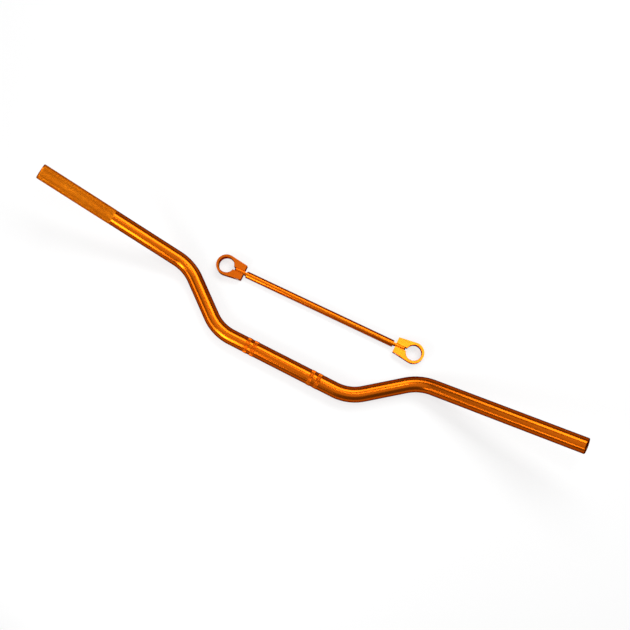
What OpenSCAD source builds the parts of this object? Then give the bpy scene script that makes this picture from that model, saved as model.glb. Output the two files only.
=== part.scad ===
// Motocross handlebar of 22.2 mm tube with its loose crossbar lying beside it.
// The origin is the middle of the clamp zone, on the tube's axis. +X runs to the rider's right grip,
// +Y the way the risers climb, and +Z up from the surface that both pieces lie on.

/* [Tube] */
// Width over the two open ends
bar_w = 820; // [760:5:860]
// Outside diameter of the tube, which every grip and clamp fits
tube_d = 22.2; // [21.2:0.1:24.2]
// Wall of the tube
tube_wall = 3.5; // [2.5:0.5:4.5]
// Bevel on the rims of the open ends
end_bevel = 0.6; // [0.3:0.1:1]

/* [Bends] */
// Width between the corners of the two inner bends
centre_w = 206; // [196:2:220]
// Climb from the clamp zone to the outer bends
rise = 63; // [55:1:75]
// Slope of the risers away from the clamp zone
riser_angle = 38.5; // [34:0.5:44]
// Further climb from the outer bends to the ends
tip_rise = 14; // [4:1:24]
// Sweep of the grips towards the rider
sweep = 79; // [60:1:95]
// Radius of the inner bends, on the tube's axis
inner_bend_r = 62; // [52:1:66]
// Radius of the outer bends, on the tube's axis
outer_bend_r = 58; // [50:1:64]
// How much the tube's radius shrinks in the bends, where it was drawn round the former
bend_thin = 0.2; // [0.1:0.05:0.4]
// Length over which it shrinks at each end of a bend
thin_l = 8; // [5:1:12]

/* [Knurling] */
// Length of the knurled grip seat at the left end
knurl_l = 115; // [100:1:125]
// How far its knurling stands proud of the tube
knurl_raise = 0.25; // [0.15:0.05:0.4]
// Distance between the middles of the two handlebar clamp seats
seat_spacing = 100; // [90:1:110]
// Length of each knurled ring of a clamp seat
seat_ring_l = 6; // [4:0.5:7]
// Plain gap between the two rings of a clamp seat
seat_gap = 4.6; // [3:0.2:6]
// How far the tips of a ring's teeth stand proud of the tube
seat_raise = 0.4; // [0.3:0.05:0.6]
// Number of teeth round a ring
seat_teeth = 60; // [40:1:72]

/* [Crossbar rod] */
// Diameter of the rod
rod_d = 10; // [9:0.5:12]
// Distance of the crossbar up the risers from the inner bends' corners
cross_up = 46; // [40:1:55]
// Thickness of the flat tongue at each end of the rod
tongue_t = 4; // [3:0.5:5]
// Reach of the tongue's round tip past the pinch bolt
tongue_tip_r = 7; // [6:0.5:7.5]
// Plain length of tongue between the clamp's swing and the rod's shoulder
neck_l = 2; // [1:0.5:4]
// Bevel on the rod's shoulders
shoulder_bevel = 0.8; // [0.4:0.1:1.2]

/* [Clamps] */
// Wall of the ring round the tube
ring_wall = 3.7; // [3:0.1:5]
// Thickness of a clamp along the tube
clamp_t = 11; // [10:0.5:14]
// Reach of the ears from the ring's axis to their square ends
ear_reach = 27.5; // [26:0.5:30]
// Width over both ears at their square ends
ear_end_w = 22.4; // [20:0.2:26]
// Distance of the pinch bolt from the ring's axis
bolt_reach = 20; // [19:0.5:21]
// Bevel on the rims of the ring's hole
clamp_bevel = 0.4; // [0.2:0.1:0.8]

/* [Pinch bolts] */
// Thread diameter of a pinch bolt
bolt_d = 5; // [4:0.5:5]
// Length of a pinch bolt under its head
bolt_l = 16; // [14:1:18]
// Diameter of its round head
head_d = 8.5; // [7.5:0.1:9]
// Height of its head
head_h = 5; // [4:0.5:5]
// Width over the flats of its socket
socket_w = 4; // [3:0.5:4]

/* [Resting place] */
// Place of the loose crossbar along X
cross_x = 10; // [-20:1:40]
// Place of the loose crossbar along Y
cross_y = 93; // [85:1:130]
// Turn of the loose crossbar on the surface
cross_turn = 1.5; // [-3:0.5:6]

/* [Hidden] */
$fn = 96;
anodised = "#d9660a";

// Clearances: tube in the closed clamp ring, tongue in the slot on each side, bolt in the tongue as
// the pin of the swivel, bolt in the near ear, head in its pocket
ring_fit = 0.05;
slot_fit = 0.3;
pin_fit = 0.08;
ear_fit = 0.25;
pocket_fit = 0.35;
// Overrun of a cut past the face that it opens, and lap of a straight run into its bend
over = 1;
// How far a lapping surface dips under the one that it meets
dip = 0.04;

// Tube: half of it as straight runs and bends, from the middle outwards
tube_r = tube_d / 2;
bore_r = tube_r - tube_wall;
corner_x = centre_w / 2 + rise / tan(riser_angle);
grip_run = [bar_w / 2 - corner_x, tip_rise, sweep];
// The grip's direction as a turn from the riser: first its bend plane, then its bend angle
grip_x = (grip_run.x * cos(riser_angle) + grip_run.y * sin(riser_angle)) / norm(grip_run);
grip_y = (grip_run.y * cos(riser_angle) - grip_run.x * sin(riser_angle)) / norm(grip_run);
grip_z = grip_run.z / norm(grip_run);
outer_plane = atan2(grip_z, grip_y);
outer_angle = acos(grip_x);
inner_cut = inner_bend_r * tan(riser_angle / 2);
outer_cut = outer_bend_r * tan(outer_angle / 2);
centre_l = centre_w - 2 * inner_cut;
riser_l = rise / sin(riser_angle) - inner_cut - outer_cut;
grip_l = norm(grip_run) - outer_cut;

// Clamp: the ears' flanks run into the ring almost as tangents
ring_r = tube_r + ring_wall;
ear_corner = [ear_reach, ear_end_w / 2];
flank_turn = atan2(ear_corner.y, ear_corner.x) + acos((ring_r - dip) / norm(ear_corner));
flank_start = (ring_r - dip) * [cos(flank_turn), sin(flank_turn)];
flank_slope = (flank_start.y - ear_corner.y) / (ear_corner.x - flank_start.x);
flank_at_bolt = ear_corner.y + flank_slope * (ear_reach - bolt_reach);
slot_w = tongue_t + 2 * slot_fit;
// The bolt's head lies just inside the flank
head_top = flank_at_bolt - flank_slope * head_d / 2;
head_seat = head_top - head_h;

// Rod: it reaches from bolt to bolt when both rings sit on the risers
ring_x = centre_w / 2 + cross_up * cos(riser_angle);
bolt_x = ring_x - bolt_reach * sin(riser_angle);
ear_swing_r = norm([ear_reach - bolt_reach, clamp_t / 2]);
shoulder_x = bolt_x - ear_swing_r - neck_l;
// The clamps lie flat on the surface that the tube's seat rings rest on
floor_z = -tube_r - seat_raise;
cross_z = floor_z + clamp_t / 2;

// One straight run of bar along +X, which narrows into a bend at each end that has one
module run(r, l, bends = [true, true]) {
    neck_r = r - bend_thin - dip;
    rotate([0, 90, 0]) rotate_extrude() polygon(concat(
        bends[0] ? [[0, -over], [neck_r - dip, -over], [neck_r, 0], [r, thin_l]] : [[0, 0], [r, 0]],
        bends[1] ? [[r, l - thin_l], [neck_r, l], [neck_r - dip, l + over], [0, l + over]] : [[r, l], [0, l]]
    ));
}

// One bend that starts at the origin along +X and turns towards +Y
module bend(r, bend_r, angle) {
    translate([0, bend_r, 0]) rotate([0, 0, -90])
        rotate_extrude(angle = angle) translate([bend_r, 0]) circle(r = r - bend_thin);
}

// Moves what follows to the far end of a bend
module after_bend(bend_r, angle) {
    translate([0, bend_r, 0]) rotate([0, 0, angle]) translate([0, -bend_r, 0]) children();
}

// Moves what follows to the start of the right grip, with +X along it to the open end
module on_grip() {
    translate([centre_l / 2, 0, 0]) after_bend(inner_bend_r, riser_angle)
        translate([riser_l, 0, 0]) rotate([outer_plane, 0, 0])
            after_bend(outer_bend_r, outer_angle) children();
}

// Everything right of the centre run, as solid bar of radius r
module wing(r) {
    translate([centre_l / 2, 0, 0]) {
        bend(r, inner_bend_r, riser_angle);
        after_bend(inner_bend_r, riser_angle) {
            run(r, riser_l);
            translate([riser_l, 0, 0]) rotate([outer_plane, 0, 0]) bend(r, outer_bend_r, outer_angle);
        }
    }
    on_grip() run(r, grip_l, [true, false]);
}

module bent_bar(r) {
    translate([-centre_l / 2, 0, 0]) run(r, centre_l);
    wing(r);
    mirror([1, 0, 0]) wing(r);
}

// Cuts the face of an open end and the bevels on both its rims
module end_cut() {
    on_grip() translate([grip_l, 0, 0]) rotate([0, 90, 0]) rotate_extrude() polygon([
        [0, -end_bevel - over],
        [bore_r - over, -end_bevel - over],
        [bore_r + end_bevel, 0],
        [tube_r - end_bevel, 0],
        [tube_r + over, -end_bevel - over],
        [tube_r + over, 3 * over],
        [0, 3 * over]
    ]);
}

// Knurled grip seat on the left end, with a sloped rim at its inner end
module knurled_sleeve() {
    mirror([1, 0, 0]) on_grip() translate([grip_l, 0, 0]) rotate([0, 90, 0])
        rotate_extrude() polygon([
            [tube_r - tube_wall / 2, -knurl_l],
            [tube_r - knurl_raise, -knurl_l],
            [tube_r + knurl_raise, 2 * knurl_raise - knurl_l],
            [tube_r + knurl_raise, over],
            [tube_r - tube_wall / 2, over]
        ]);
}

// One ring of straight teeth round the centre run
module seat_ring() {
    tip_r = tube_r + seat_raise;
    root_r = tube_r + seat_raise / 3;
    rotate([0, 90, 0]) linear_extrude(seat_ring_l, center = true)
        polygon([for (i = [0 : 2 * seat_teeth - 1])
            let (r = i % 2 == 0 ? tip_r : root_r, turn = i * 180 / seat_teeth)
            r * [cos(turn), sin(turn)]]);
}

module handlebar() {
    color(anodised) difference() {
        union() {
            bent_bar(tube_r);
            knurled_sleeve();
            for (side = [-1, 1], ring = [-1, 1])
                translate([side * seat_spacing / 2 + ring * (seat_ring_l + seat_gap) / 2, 0, 0]) seat_ring();
        }
        bent_bar(bore_r);
        end_cut();
        mirror([1, 0, 0]) end_cut();
    }
}

// Lays the loose crossbar down: its rod runs along X and its bolts along Y
module laid_down() {
    translate([cross_x, cross_y, cross_z]) rotate([0, 0, cross_turn]) children();
}

// Milled end of the rod: a tongue with a round tip and the pivot hole for the bolt
module tongue() {
    difference() {
        intersection() {
            rotate([0, 90, 0]) cylinder(r = rod_d / 2, h = bolt_x + tongue_tip_r);
            translate([shoulder_x - over, -tongue_t / 2, -rod_d / 2])
                cube([bolt_x - shoulder_x + over + tongue_tip_r, tongue_t, rod_d]);
            union() {
                translate([bolt_x, 0, 0]) rotate([90, 0, 0])
                    cylinder(r = tongue_tip_r, h = rod_d, center = true);
                translate([shoulder_x - over, -rod_d / 2, -rod_d / 2])
                    cube([bolt_x - shoulder_x + over, rod_d, rod_d]);
            }
        }
        translate([bolt_x, 0, 0]) rotate([90, 0, 0])
            cylinder(r = bolt_d / 2 + pin_fit, h = rod_d, center = true);
    }
}

module crossbar_rod() {
    rod_r = rod_d / 2;
    color(anodised) laid_down() {
        rotate([0, 90, 0]) rotate_extrude() polygon([
            [0, -shoulder_x],
            [rod_r - shoulder_bevel, -shoulder_x],
            [rod_r, -shoulder_x + shoulder_bevel],
            [rod_r, shoulder_x - shoulder_bevel],
            [rod_r - shoulder_bevel, shoulder_x],
            [0, shoulder_x]
        ]);
        tongue();
        mirror([1, 0, 0]) tongue();
    }
}

// Split clamp in its own frame: the ring's axis is Z, its ears point along +X to the rod
module split_clamp() {
    hole_r = tube_r + ring_fit;
    difference() {
        union() {
            cylinder(r = ring_r, h = clamp_t, center = true);
            linear_extrude(clamp_t, center = true) polygon([
                [0, 0],
                flank_start,
                ear_corner,
                [ear_corner.x, -ear_corner.y],
                [flank_start.x, -flank_start.y]
            ]);
        }
        cylinder(r = hole_r, h = clamp_t + 2 * over, center = true);
        for (side = [0, 1]) mirror([0, 0, side]) translate([0, 0, clamp_t / 2 - clamp_bevel - over])
            cylinder(r1 = hole_r - over, r2 = hole_r + clamp_bevel + over, h = clamp_bevel + 2 * over);
        translate([0, -slot_w / 2, -clamp_t / 2 - over]) cube([ear_reach + over, slot_w, clamp_t + 2 * over]);
        // Clearance hole and pocket in the ear that faces -Y, tapped hole in the other ear
        translate([bolt_reach, 0, 0]) rotate([90, 0, 0]) {
            cylinder(r = bolt_d / 2 + ear_fit, h = ring_r + over);
            translate([0, 0, head_seat]) cylinder(r = head_d / 2 + pocket_fit, h = ring_r + over);
            mirror([0, 0, 1]) cylinder(r = bolt_d / 2, h = ring_r + over);
        }
    }
}

// Socket-head bolt in the clamp's frame
module pinch_bolt() {
    translate([bolt_reach, 0, 0]) rotate([90, 0, 0]) difference() {
        union() {
            translate([0, 0, head_seat - bolt_l]) cylinder(r = bolt_d / 2, h = bolt_l + over);
            translate([0, 0, head_seat]) rotate_extrude() polygon([
                [0, 0],
                [head_d / 2, 0],
                [head_d / 2, head_h - head_d / 20],
                [head_d / 2 - head_d / 20, head_h],
                [0, head_h]
            ]);
        }
        translate([0, 0, head_top - head_h / 2])
            cylinder(d = socket_w / cos(30), h = head_h, $fn = 6);
    }
}

// The two clamps' places on the rod. The right one is turned over, so both bolt heads face -Y
module at_left() {
    laid_down() translate([-bolt_x - bolt_reach, 0, 0]) children();
}

module at_right() {
    laid_down() translate([bolt_x + bolt_reach, 0, 0]) rotate([0, 180, 0]) children();
}

module left_clamp() {
    color(anodised) at_left() split_clamp();
}

module right_clamp() {
    color(anodised) at_right() split_clamp();
}

module left_pinch_bolt() {
    color("silver") at_left() pinch_bolt();
}

module right_pinch_bolt() {
    color("silver") at_right() pinch_bolt();
}

handlebar();
crossbar_rod();
left_clamp();
right_clamp();
left_pinch_bolt();
right_pinch_bolt();
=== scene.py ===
"""Looks for an orange anodised motocross handlebar and the loose crossbar that lies beside it.

The bar lies on its centre and risers, with its swept ends rising from the surface. All lengths
are in metres, in the same frame as the solids: X from grip to grip, Y the way the risers climb,
Z up, with the origin on the tube's axis in the middle of the clamped stretch.
"""

import math

import bpy
import numpy as np
from mathutils import Matrix


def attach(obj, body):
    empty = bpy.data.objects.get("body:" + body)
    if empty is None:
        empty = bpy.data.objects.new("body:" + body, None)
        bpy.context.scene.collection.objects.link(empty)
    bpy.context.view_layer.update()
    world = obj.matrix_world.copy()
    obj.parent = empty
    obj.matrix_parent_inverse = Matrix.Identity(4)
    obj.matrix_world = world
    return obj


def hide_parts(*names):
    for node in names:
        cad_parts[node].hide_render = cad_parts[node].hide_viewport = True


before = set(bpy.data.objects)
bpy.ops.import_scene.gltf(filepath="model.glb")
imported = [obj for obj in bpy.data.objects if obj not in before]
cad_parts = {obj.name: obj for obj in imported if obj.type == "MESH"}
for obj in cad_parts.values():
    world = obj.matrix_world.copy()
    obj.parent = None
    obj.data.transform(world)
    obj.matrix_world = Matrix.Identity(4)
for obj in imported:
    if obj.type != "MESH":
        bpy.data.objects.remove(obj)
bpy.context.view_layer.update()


# The handlebar is one aluminium tube, bent at two places on each side and open at both ends.
# It is drawn, polished and dyed orange in the anodising bath, so its gloss runs along the tube.

TUBE_R = 0.0111
BORE_R = 0.0076
RIM_BEVEL = 0.0006
CENTRE_HALF = 0.0813485
INNER_BEND = (0.062, math.radians(38.5))
RISER = 0.058862
BEND_ROLL = math.radians(148.879)
OUTER_BEND = (0.058, math.radians(39.263))
GRIP = 0.220825


def half_bar(steps_to_bend, steps_in_bend):
    """The axis from the middle of the bar to the right end, as places, directions and lengths run.

    A straight goes on along the travel direction t. A bend of radius R turns t towards n, so that a
    point at angle a is R sin a along t and R (1 - cos a) along n. Before the outer bend n and b
    roll about t.
    """
    p, t, n, b = np.zeros(3), np.array([1.0, 0, 0]), np.array([0, 1.0, 0]), np.array([0, 0, 1.0])
    places, along, run = [], [], []
    done = 0.0

    def straight(length, steps):
        nonlocal p, done
        s = np.linspace(0, length, steps + 1)[:, None]
        places.append(p + s * t)
        along.append(np.repeat(t[None], steps + 1, 0))
        run.append(done + s[:, 0])
        p, done = p + length * t, done + length

    def bend(radius, angle):
        nonlocal p, t, n, done
        a = np.linspace(0, angle, steps_in_bend + 1)[1:-1, None]
        places.append(p + radius * (np.sin(a) * t + (1 - np.cos(a)) * n))
        along.append(np.cos(a) * t + np.sin(a) * n)
        run.append(done + radius * a[:, 0])
        p = p + radius * (math.sin(angle) * t + (1 - math.cos(angle)) * n)
        t, n = math.cos(angle) * t + math.sin(angle) * n, math.cos(angle) * n - math.sin(angle) * t
        done += radius * angle

    def roll(angle):
        nonlocal n, b
        n, b = math.cos(angle) * n + math.sin(angle) * b, math.cos(angle) * b - math.sin(angle) * n

    straight(CENTRE_HALF, steps_to_bend)
    bend(*INNER_BEND)
    straight(RISER, steps_to_bend)
    roll(BEND_ROLL)
    bend(*OUTER_BEND)
    straight(GRIP, steps_to_bend * 3)
    return [np.concatenate(x) for x in (places, along, run)]


def whole_bar(steps_to_bend=10, steps_in_bend=40):
    """The right half and its mirror image in X, joined at the middle, from left end to right."""
    places, along, run = half_bar(steps_to_bend, steps_in_bend)
    flip = np.array([-1.0, 1, 1])
    back = slice(None, 0, -1)
    return (
        np.concatenate([places[back] * flip, places]),
        np.concatenate([-along[back] * flip, along]),
        np.concatenate([-run[back], run]),
    )


def level_frames(along):
    """For each travel direction, the level vector across it and the one that completes the three."""
    side = np.cross([0.0, 0, 1], along)
    side /= np.linalg.norm(side, axis=1)[:, None]
    return side, np.cross(along, side)


def carried(centres, side, rise, radii, turns):
    """Rings of points: each centre plus its radius times (cos a side + sin a rise)."""
    a = np.linspace(0, 2 * math.pi, turns, endpoint=False)
    ring = np.cos(a)[None, :, None] * side[:, None] + np.sin(a)[None, :, None] * rise[:, None]
    radii = np.broadcast_to(np.asarray(radii, float).reshape(len(centres), -1), (len(centres), turns))
    return centres[:, None] + radii[:, :, None] * ring, a


def mesh_piece(name, grid, body, drawn, smooth=40.0):
    """A closed mesh from rings of points, each joined to the next and the last to the first.

    drawn holds for every point its place on the tube laid out straight, kept as an attribute that
    the finish reads. Edges sharper than smooth degrees stay sharp, and 0 leaves every facet flat.
    """
    rings, turns = grid.shape[:2]
    a = np.arange(rings * turns).reshape(rings, turns)
    b = np.roll(a, -1, 0)
    quads = np.stack([a, np.roll(a, -1, 1), np.roll(b, -1, 1), b], -1).reshape(-1, 4)
    mesh = bpy.data.meshes.new(name)
    mesh.from_pydata(grid.reshape(-1, 3).tolist(), [], quads.tolist())
    mesh.attributes.new("drawn", "FLOAT_VECTOR", "POINT").data.foreach_set(
        "vector", drawn.reshape(-1).astype(np.float32)
    )
    mesh.update()
    piece = bpy.data.objects.new(name, mesh)
    bpy.context.scene.collection.objects.link(piece)
    if smooth:
        mesh.shade_smooth()
        mesh.set_sharp_from_angle(angle=math.radians(smooth))
    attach(piece, body)
    return piece


def straightened(length, radius, a):
    """A point at angle a and length s goes to (radius cos a, radius sin a, s)."""
    radius = np.asarray(radius, float)
    radius = np.broadcast_to(radius[:, None] if radius.ndim == 1 else radius, (len(length), len(a)))
    return np.stack(
        [radius * np.cos(a), radius * np.sin(a), np.broadcast_to(length[:, None], radius.shape)], -1
    )


centres, along, run = whole_bar()
side, rise = level_frames(along)
end = np.array([0, -1])
outer_centres = np.concatenate([centres[:1], centres[:1] + along[:1] * RIM_BEVEL, centres[1:-1],
                                centres[-1:] - along[-1:] * RIM_BEVEL, centres[-1:]])
outer_pick = np.concatenate([[0, 0], np.arange(1, len(centres) - 1), [-1, -1]])
outer_radii = np.full(len(outer_centres), TUBE_R)
outer_radii[end] -= RIM_BEVEL
bore_centres, bore_pick = outer_centres[::-1], outer_pick[::-1]
bore_radii = np.full(len(bore_centres), BORE_R)
bore_radii[end] += RIM_BEVEL
pick = np.concatenate([outer_pick, bore_pick])
tube_grid, around = carried(
    np.concatenate([outer_centres, bore_centres]), side[pick], rise[pick],
    np.concatenate([outer_radii, bore_radii]), 96)
tube_drawn = straightened(run[pick], np.concatenate([outer_radii, bore_radii]), around)
handlebar = mesh_piece("handlebar_tube", tube_grid, "bar", tube_drawn)
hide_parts("handlebar")


METAL = (1.0, 0.295, 0.014, 1.0)
DYE_LAYER = (0.55, 0.37, 0.22, 1.0)


def anodised(name, colour, layer, gloss, streaks, mottle, grain, turned=0.0, drawn=False):
    """Dyed anodised aluminium: warm metal under a thin layer of orange dye.

    Light that leaves at a slant runs further through the dye, so the tube darkens towards its
    edges. grain is the size of the tool's marks along X, Y and Z, which turned swings about Z.
    streaks is how far they move the roughness, and mottle how far the dye's depth wanders over a
    few centimetres. drawn reads the tube laid out straight along Z, not the piece's own place.
    """
    material = bpy.data.materials.new(name)
    material.use_nodes = True
    nodes, links = material.node_tree.nodes, material.node_tree.links
    shader = nodes["Principled BSDF"]
    shader.inputs["Metallic"].default_value = 1.0
    shader.inputs["Specular Tint"].default_value = (0.5, 0.15, 0.05, 1.0)
    shader.inputs["Coat Weight"].default_value = 1.0
    shader.inputs["Coat IOR"].default_value = 1.0
    shader.inputs["Coat Roughness"].default_value = 0.2
    shader.inputs["Coat Tint"].default_value = layer
    if drawn:
        place = nodes.new("ShaderNodeAttribute")
        place.attribute_name = "drawn"
        place_out = place.outputs["Vector"]
    else:
        place = nodes.new("ShaderNodeTexCoord")
        place_out = place.outputs["Object"]
    stretch = nodes.new("ShaderNodeMapping")
    stretch.vector_type = "TEXTURE"
    stretch.inputs["Rotation"].default_value = (0.0, 0.0, turned)
    stretch.inputs["Scale"].default_value = grain
    links.new(place_out, stretch.inputs["Vector"])
    lines = nodes.new("ShaderNodeTexNoise")
    lines.inputs["Scale"].default_value = 1.0
    lines.inputs["Detail"].default_value = 3.0
    links.new(stretch.outputs["Vector"], lines.inputs["Vector"])
    gloss_range = nodes.new("ShaderNodeMapRange")
    gloss_range.inputs["From Min"].default_value = 0.3
    gloss_range.inputs["From Max"].default_value = 0.7
    gloss_range.inputs["To Min"].default_value = gloss - streaks
    gloss_range.inputs["To Max"].default_value = gloss + streaks
    links.new(lines.outputs["Fac"], gloss_range.inputs["Value"])
    links.new(gloss_range.outputs["Result"], shader.inputs["Roughness"])
    depth = nodes.new("ShaderNodeTexNoise")
    depth.inputs["Scale"].default_value = 38.0
    depth.inputs["Detail"].default_value = 2.0
    links.new(place_out, depth.inputs["Vector"])
    dye = nodes.new("ShaderNodeMix")
    dye.data_type = "RGBA"
    dye.inputs["A"].default_value = colour
    dye.inputs["B"].default_value = [c * (1 - mottle) ** (1 + k) for k, c in enumerate(colour[:3])] + [1.0]
    links.new(depth.outputs["Fac"], dye.inputs["Factor"])
    links.new(dye.outputs["Result"], shader.inputs["Base Color"])
    bump = nodes.new("ShaderNodeBump")
    bump.inputs["Strength"].default_value = 0.001
    bump.inputs["Distance"].default_value = 0.0001
    links.new(lines.outputs["Fac"], bump.inputs["Height"])
    links.new(bump.outputs["Normal"], shader.inputs["Normal"])
    return material


DRAWN_GRAIN = (0.00055, 0.00055, 0.07)
tube_finish = anodised("orange_tube", METAL, DYE_LAYER, 0.24, 0.01, 0.08, DRAWN_GRAIN, drawn=True)
handlebar.data.materials.append(tube_finish)


# The left grip seat is knurled so that a rubber grip holds on it: two crossing families of helical
# grooves are rolled into the tube and leave rows of small pyramids, dyed with the rest of the bar.

KNURL_LENGTH = 0.115
KNURL_PITCH = 0.0017
KNURL_ROUND = 44
KNURL_VALLEY = 0.00002
KNURL_CREST = 0.00026
KNURL_UNDER = 0.0002
KNURL_START = 0.0012


def ridge(phase):
    """A wave of straight flanks: 0 in the groove, 1 on the crest, once for each whole phase."""
    return 1 - np.abs(2 * (phase - np.floor(phase)) - 1)


def knurled_rings(count_round, start, length, cells):
    """Rings along the left grip whose radius follows the lower of two crossing helical ridges.

    With u once round the tube and w counted in diamonds along it, the ridges are at whole values of
    count u + w and count u - w. Both ends taper to the tube over one diamond.
    """
    rows = round(length / KNURL_PITCH)
    w = np.arange(rows * cells + 1) / cells
    u = np.arange(count_round * cells) / (count_round * cells)
    rise_of = np.minimum(ridge(count_round * u[None] + w[:, None]), ridge(count_round * u[None] - w[:, None]))
    taper = np.clip(np.minimum(w, rows - w), 0, 1)[:, None]
    radii = TUBE_R + KNURL_VALLEY + taper * rise_of * (KNURL_CREST - KNURL_VALLEY)
    return start + w * length / rows, radii


grip_way = along[0]
knurl_run, knurl_radii = knurled_rings(KNURL_ROUND, KNURL_START, KNURL_LENGTH - KNURL_START, 4)
knurl_centres = centres[0] + knurl_run[:, None] * grip_way
knurl_side = np.repeat(side[:1], len(knurl_run), 0)
knurl_rise = np.repeat(rise[:1], len(knurl_run), 0)
under = np.array([0, -1])
knurl_grid, knurl_around = carried(
    np.concatenate([knurl_centres, knurl_centres[::-1][[0, -1]]]),
    np.concatenate([knurl_side, knurl_side[under]]),
    np.concatenate([knurl_rise, knurl_rise[under]]),
    np.concatenate([knurl_radii, np.full((2, knurl_radii.shape[1]), TUBE_R - KNURL_UNDER)]),
    knurl_radii.shape[1])
knurl_lengths = np.concatenate([knurl_run, knurl_run[::-1][[0, -1]]])
knurl = mesh_piece("left_knurl", knurl_grid, "bar",
                   straightened(knurl_lengths, TUBE_R, knurl_around), smooth=0)
knurl_finish = anodised(
    "orange_knurl", (0.84, 0.30, 0.012, 1.0), (0.78, 0.64, 0.45, 1.0), 0.5, 0.08, 0.3, DRAWN_GRAIN,
    drawn=True)
knurl.data.materials.append(knurl_finish)


# The two clamp seats are marked by pairs of narrow toothed rings, rolled straight along the tube,
# which stop the bar from turning in its clamps. The tube stays smooth between each pair.

SEAT_SPACING = 0.100
SEAT_LENGTH = 0.006
SEAT_GAP = 0.0046
SEAT_TEETH = 60
SEAT_SINK = 0.00001
SEAT_LAND = 0.00008
SEAT_TOOTH = 0.0003
SEAT_UNDER = 0.0003


def toothed_rings(middle):
    """A ring of straight teeth: the radius is the tube's plus a wave of flat crests round it.

    The wave is a ridge stretched and cut at its top, and both ends of the ring slope to the tube.
    """
    s = np.array([-0.5, -0.44, -0.2, 0, 0.2, 0.44, 0.5]) * SEAT_LENGTH
    lift = np.array([0, 1, 1, 1, 1, 1, 0.0])[:, None]
    u = np.arange(SEAT_TEETH * 6) / 6
    tooth = np.clip(1.5 * ridge(u), 0, 1)[None]
    radii = TUBE_R - SEAT_SINK + lift * (SEAT_LAND + SEAT_TOOTH * tooth)
    radii = np.concatenate([radii, np.full((2, len(u)), TUBE_R - SEAT_UNDER)])
    s = np.concatenate([s, s[[-1, 0]]]) + middle
    return s, radii


seat_finish = anodised("orange_seat", METAL, DYE_LAYER, 0.38, 0.05, 0.2, DRAWN_GRAIN, drawn=True)
for number, middle in enumerate(
    sign * SEAT_SPACING / 2 + place * (SEAT_LENGTH + SEAT_GAP) / 2 for sign in (-1, 1) for place in (-1, 1)
):
    seat_run, seat_radii = toothed_rings(middle)
    ways = np.repeat(np.array([[1.0, 0, 0]]), len(seat_run), 0)
    seat_side, seat_rise = level_frames(ways)
    seat_grid, seat_around = carried(
        seat_run[:, None] * ways, seat_side, seat_rise, seat_radii, seat_radii.shape[1])
    seat = mesh_piece("clamp_seat_%d" % (number + 1), seat_grid, "bar",
                      straightened(seat_run, TUBE_R, seat_around), smooth=25.0)
    seat.data.materials.append(seat_finish)


# The crossbar is a thinner rod of the same dyed aluminium with a milled tongue at each end. A split
# clamp turns on each tongue, and a small socket-head bolt pinches its two ears together.

rod_finish = anodised(
    "orange_rod", METAL, DYE_LAYER, 0.24, 0.02, 0.10, (0.07, 0.00055, 0.00055), turned=math.radians(1.5))
clamp_finish = anodised(
    "orange_clamp", (0.66, 0.15, 0.0075, 1.0), (0.85, 0.75, 0.65, 1.0), 0.24, 0.03, 0.16,
    (0.012, 0.0008, 0.012))
for node, finish in (
    ("crossbar_rod", rod_finish), ("left_clamp", clamp_finish), ("right_clamp", clamp_finish)
):
    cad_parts[node].material_slots[0].material = finish

bolt_finish = bpy.data.materials.new("bolt_plating")
bolt_finish.use_nodes = True
bolt_nodes, bolt_links = bolt_finish.node_tree.nodes, bolt_finish.node_tree.links
bolt_shader = bolt_nodes["Principled BSDF"]
bolt_shader.inputs["Metallic"].default_value = 1.0
bolt_place = bolt_nodes.new("ShaderNodeTexCoord")
bolt_clouds = bolt_nodes.new("ShaderNodeTexNoise")
bolt_clouds.inputs["Scale"].default_value = 700.0
bolt_clouds.inputs["Detail"].default_value = 4.0
bolt_links.new(bolt_place.outputs["Object"], bolt_clouds.inputs["Vector"])
bolt_tint = bolt_nodes.new("ShaderNodeMix")
bolt_tint.data_type = "RGBA"
bolt_tint.inputs["A"].default_value = (0.78, 0.70, 0.68, 1.0)
bolt_tint.inputs["B"].default_value = (0.62, 0.55, 0.50, 1.0)
bolt_links.new(bolt_clouds.outputs["Fac"], bolt_tint.inputs["Factor"])
bolt_links.new(bolt_tint.outputs["Result"], bolt_shader.inputs["Base Color"])
bolt_gloss = bolt_nodes.new("ShaderNodeMapRange")
bolt_gloss.inputs["From Min"].default_value = 0.3
bolt_gloss.inputs["From Max"].default_value = 0.7
bolt_gloss.inputs["To Min"].default_value = 0.28
bolt_gloss.inputs["To Max"].default_value = 0.44
bolt_links.new(bolt_clouds.outputs["Fac"], bolt_gloss.inputs["Value"])
bolt_links.new(bolt_gloss.outputs["Result"], bolt_shader.inputs["Roughness"])
for node in ("left_pinch_bolt", "right_pinch_bolt"):
    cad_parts[node].material_slots[0].material = bolt_finish


# The parts lie on a white table under soft boxes, and the camera looks down on them.

LYING_Z = -0.0115
EYE = np.array([0.1363, -0.1289, 1.4433])
EYE_FORWARD = np.array([-0.08694, 0.14373, -0.98579])
EYE_UP = np.array([-0.44845, 0.87796, 0.16756])
LENS_MM = 59.39
TABLE_HALF = 4
TABLE_GREY = 0.27
TABLE_GLOW = 0.67
LAMPS_FACE = np.array([0.01, 0.06, 0.0])


def facing(place, forward, up):
    """A place and turn whose local -Z looks along forward and whose local Y is nearest to up."""
    forward = forward / np.linalg.norm(forward)
    right = np.cross(forward, up)
    right /= np.linalg.norm(right)
    turn = np.eye(4)
    turn[:3, 0], turn[:3, 1], turn[:3, 2], turn[:3, 3] = right, np.cross(right, forward), -forward, place
    return Matrix(turn.tolist())


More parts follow.
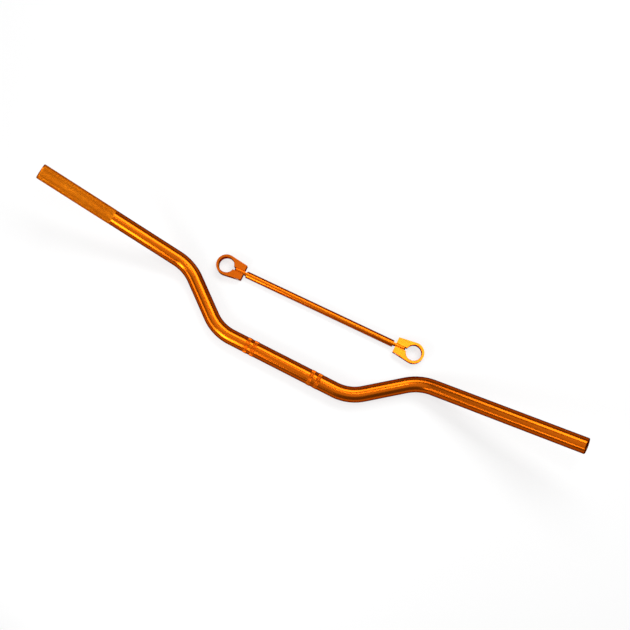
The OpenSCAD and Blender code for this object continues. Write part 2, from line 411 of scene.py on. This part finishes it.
camera_data = bpy.data.cameras.new("camera")
camera_data.sensor_width = 36.0
camera_data.lens = LENS_MM
camera_data.clip_end = 20.0
camera = bpy.data.objects.new("camera", camera_data)
bpy.context.scene.collection.objects.link(camera)
camera.matrix_world = facing(EYE, EYE_FORWARD, EYE_UP)
bpy.context.scene.camera = camera

floor_mesh = bpy.data.meshes.new("table")
floor_corners = [(x * TABLE_HALF, y * TABLE_HALF, LYING_Z) for x, y in ((-1, -1), (1, -1), (1, 1), (-1, 1))]
floor_mesh.from_pydata(floor_corners, [], [(0, 1, 2, 3)])
floor = bpy.data.objects.new("table", floor_mesh)
bpy.context.scene.collection.objects.link(floor)
floor_paint = bpy.data.materials.new("white_table")
floor_paint.use_nodes = True
floor_nodes, floor_links = floor_paint.node_tree.nodes, floor_paint.node_tree.links
floor_nodes.clear()
floor_out = floor_nodes.new("ShaderNodeOutputMaterial")
floor_matt = floor_nodes.new("ShaderNodeBsdfDiffuse")
floor_matt.inputs["Color"].default_value = (TABLE_GREY, TABLE_GREY, TABLE_GREY, 1.0)
floor_glow = floor_nodes.new("ShaderNodeEmission")
rays = floor_nodes.new("ShaderNodeLightPath")
seen = rays.outputs["Is Camera Ray"]
for kind in ("Is Glossy Ray", "Is Transmission Ray"):
    either = floor_nodes.new("ShaderNodeMath")
    either.operation = "MAXIMUM"
    floor_links.new(seen, either.inputs[0])
    floor_links.new(rays.outputs[kind], either.inputs[1])
    seen = either.outputs["Value"]
level = floor_nodes.new("ShaderNodeMath")
level.operation = "MULTIPLY"
level.inputs[1].default_value = TABLE_GLOW
floor_links.new(seen, level.inputs[0])
floor_links.new(level.outputs["Value"], floor_glow.inputs["Strength"])
both = floor_nodes.new("ShaderNodeAddShader")
floor_links.new(floor_matt.outputs["BSDF"], both.inputs[0])
floor_links.new(floor_glow.outputs["Emission"], both.inputs[1])
floor_links.new(both.outputs["Shader"], floor_out.inputs["Surface"])
floor_mesh.materials.append(floor_paint)


def soft_box(name, way, distance, width, depth, brightness):
    """A rectangular lamp that faces the middle of the table, of the given radiance.

    A lamp of power P and area A sends out P / (pi A) towards every side that it faces.
    """
    lamp_data = bpy.data.lights.new(name, "AREA")
    lamp_data.shape = "RECTANGLE"
    lamp_data.size, lamp_data.size_y = width, depth
    lamp_data.energy = brightness * math.pi * width * depth
    lamp = bpy.data.objects.new(name, lamp_data)
    bpy.context.scene.collection.objects.link(lamp)
    way = np.array(way, float) / np.linalg.norm(way)
    up = EYE_UP if abs(way[2]) > 0.9 else np.array([0.0, 0, 1])
    lamp.matrix_world = facing(LAMPS_FACE + way * distance, -way, up)


soft_box("overhead_box", (0.087, -0.144, 0.986), 1.9, 2.4, 2.0, 0.80)
soft_box("key_box", (0.072, 0.636, 0.768), 1.52, 1.65, 0.60, 6.8)
soft_box("left_grip_box", (-0.418, -0.746, 0.519), 0.520, 0.15, 0.22, 12.5)
soft_box("middle_front_box", (-0.218, -0.846, 0.487), 6.0, 0.8, 1.0, 10.0)
soft_box("left_front_box", (-0.642, -0.620, 0.450), 6.0, 3.0, 1.8, 5.0)
soft_box("small_box", (0.084, 0.187, 0.979), 1.88, 0.24, 0.22, 17.0)
soft_box("left_small_box", (-0.166, 0.178, 0.970), 1.86, 0.30, 0.26, 1.6)

world = bpy.data.worlds.new("room")
world.use_nodes = True
world.node_tree.nodes["Background"].inputs["Color"].default_value = (1.0, 1.0, 1.0, 1.0)
world.node_tree.nodes["Background"].inputs["Strength"].default_value = 0.2
bpy.context.scene.world = world
bpy.context.scene.view_settings.view_transform = "Standard"
